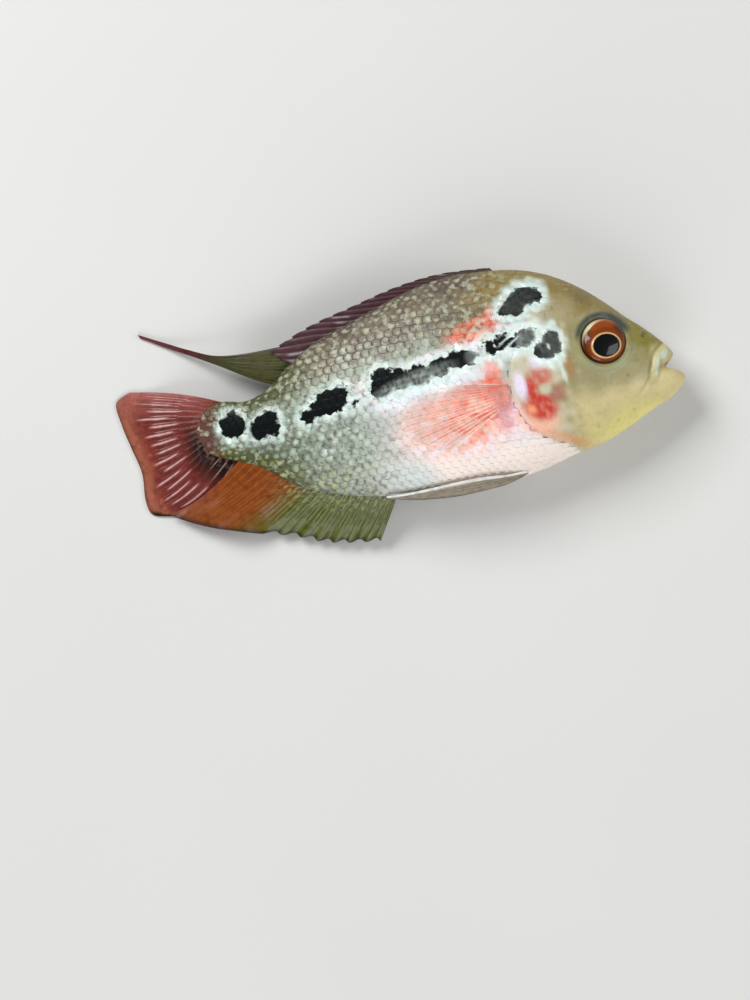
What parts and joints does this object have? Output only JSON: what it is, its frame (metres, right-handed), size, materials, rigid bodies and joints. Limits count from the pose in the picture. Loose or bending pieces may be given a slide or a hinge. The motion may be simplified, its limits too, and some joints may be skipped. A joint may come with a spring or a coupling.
{
  "type": "flowerhorn cichlid",
  "caption": "Young flowerhorn cichlid lying on its left side: deep oval body, small mouth, folded dorsal fin with a long thread, spread tail fin and trailing anal fin.",
  "frame": {"origin": "on the floor, below the middle of the fish's length and height as it lies on its left side", "axes": "+X to the snout, +Y to the fish's back, +Z out of its right flank, up from the floor"},
  "size_m": [0.0966, 0.043, 0.0162],
  "materials": {
    "skin": "wet scaled skin, olive and pearl with black marks and a salmon flush",
    "eye": "wet clear cornea over an amber iris",
    "dorsal_and_anal_fin": "wet fin membrane, brown olive",
    "tail_fin": "wet fin membrane, maroon with pale rays",
    "paired_fin": "thin clear fin membrane"
  },
  "bodies": {
    "root": {"head": "skin", "upper_jaw": "skin", "lower_jaw": "skin", "gill_cover_right": "skin", "gill_cover_left": "skin", "trunk": "skin", "tail_stalk": "skin", "eye_right": "eye", "eye_left": "eye", "dorsal_fin": "dorsal_and_anal_fin", "anal_fin": "dorsal_and_anal_fin", "caudal_fin": "tail_fin", "pectoral_fin_right": "paired_fin", "pectoral_fin_left": "paired_fin", "pelvic_fin_right": "paired_fin", "pelvic_fin_left": "paired_fin"}
  },
  "joints": []
}
